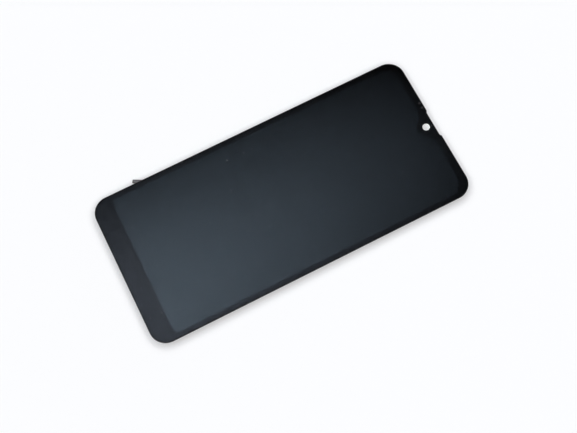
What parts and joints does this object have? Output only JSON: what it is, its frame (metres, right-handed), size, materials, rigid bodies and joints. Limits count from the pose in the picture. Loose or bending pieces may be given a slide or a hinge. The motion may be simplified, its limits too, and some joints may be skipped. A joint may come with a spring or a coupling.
{
  "type": "phone lcd screen assembly",
  "caption": "Flat phone display module: cover glass with black border and drop notch over a liquid crystal cell, backlight in a folded tray, flex circuit folded behind.",
  "frame": {"origin": "middle of the back tray's outer face, under the middle of the cover glass", "axes": "+Y along the screen towards the earpiece end, +X across it, +Z the way the picture faces"},
  "size_m": [0.0755, 0.1548, 0.0035],
  "materials": {
    "cover_glass": "clear tempered glass, polished, rounded front edge",
    "border_ink": "black screen-printed ink",
    "sensor_ink": "dark see-through ink",
    "clear_adhesive": "clear cured optical adhesive",
    "polarizer": "dark grey polarizer film",
    "cell_glass": "thin clear display glass",
    "seal_resin": "cured sealing resin",
    "liquid_crystal": "liquid crystal between the two glasses",
    "silicon": "bare silicon, satin",
    "prism_film": "clear film with fine ridges",
    "diffuser_film": "milky film",
    "light_guide": "clear moulded plate",
    "reflector_film": "silvered film",
    "frame_plastic": "black moulded plastic",
    "rim_tape": "black adhesive tape",
    "tray_steel": "bright rolled stainless sheet",
    "flex_cover": "dark brown coverlay film",
    "led_flex_cover": "white coverlay film",
    "led_body": "white moulded package with a pale yellow window",
    "solder": "tin solder",
    "glue_pad": "double-sided adhesive",
    "connector_body": "black moulded high-temperature plastic",
    "gold_plate": "gold plated copper alloy",
    "chip_package": "black epoxy package",
    "capacitor_ceramic": "brown fired ceramic",
    "ground_cloth": "grey metallised cloth tape"
  },
  "bodies": {
    "root": {"cover_glass": "cover_glass", "border_print": "border_ink", "sensor_window_print": "sensor_ink", "optical_adhesive": "clear_adhesive", "front_polarizer": "polarizer", "rear_polarizer": "polarizer", "colour_filter_glass": "cell_glass", "tft_glass": "cell_glass", "cell_seal": "seal_resin", "ledge_sealant": "seal_resin", "liquid_crystal": "liquid_crystal", "driver_chip": "silicon", "upper_prism_film": "prism_film", "lower_prism_film": "prism_film", "diffuser_film": "diffuser_film", "light_guide": "light_guide", "reflector_film": "reflector_film", "plastic_frame": "frame_plastic", "rim_tape": "rim_tape", "back_tray": "tray_steel", "connector_stiffener": "tray_steel", "main_flex": "flex_cover", "led_strip_flex": "led_flex_cover", "backlight_leds": "led_body", "led_solder": "solder", "capacitor_ends": "solder", "flex_adhesive": "glue_pad", "connector_housing": "connector_body", "connector_contacts": "gold_plate", "connector_clips": "gold_plate", "test_pads": "gold_plate", "memory_chip": "chip_package", "capacitor_bodies": "capacitor_ceramic", "ground_tape": "ground_cloth"}
  },
  "joints": []
}
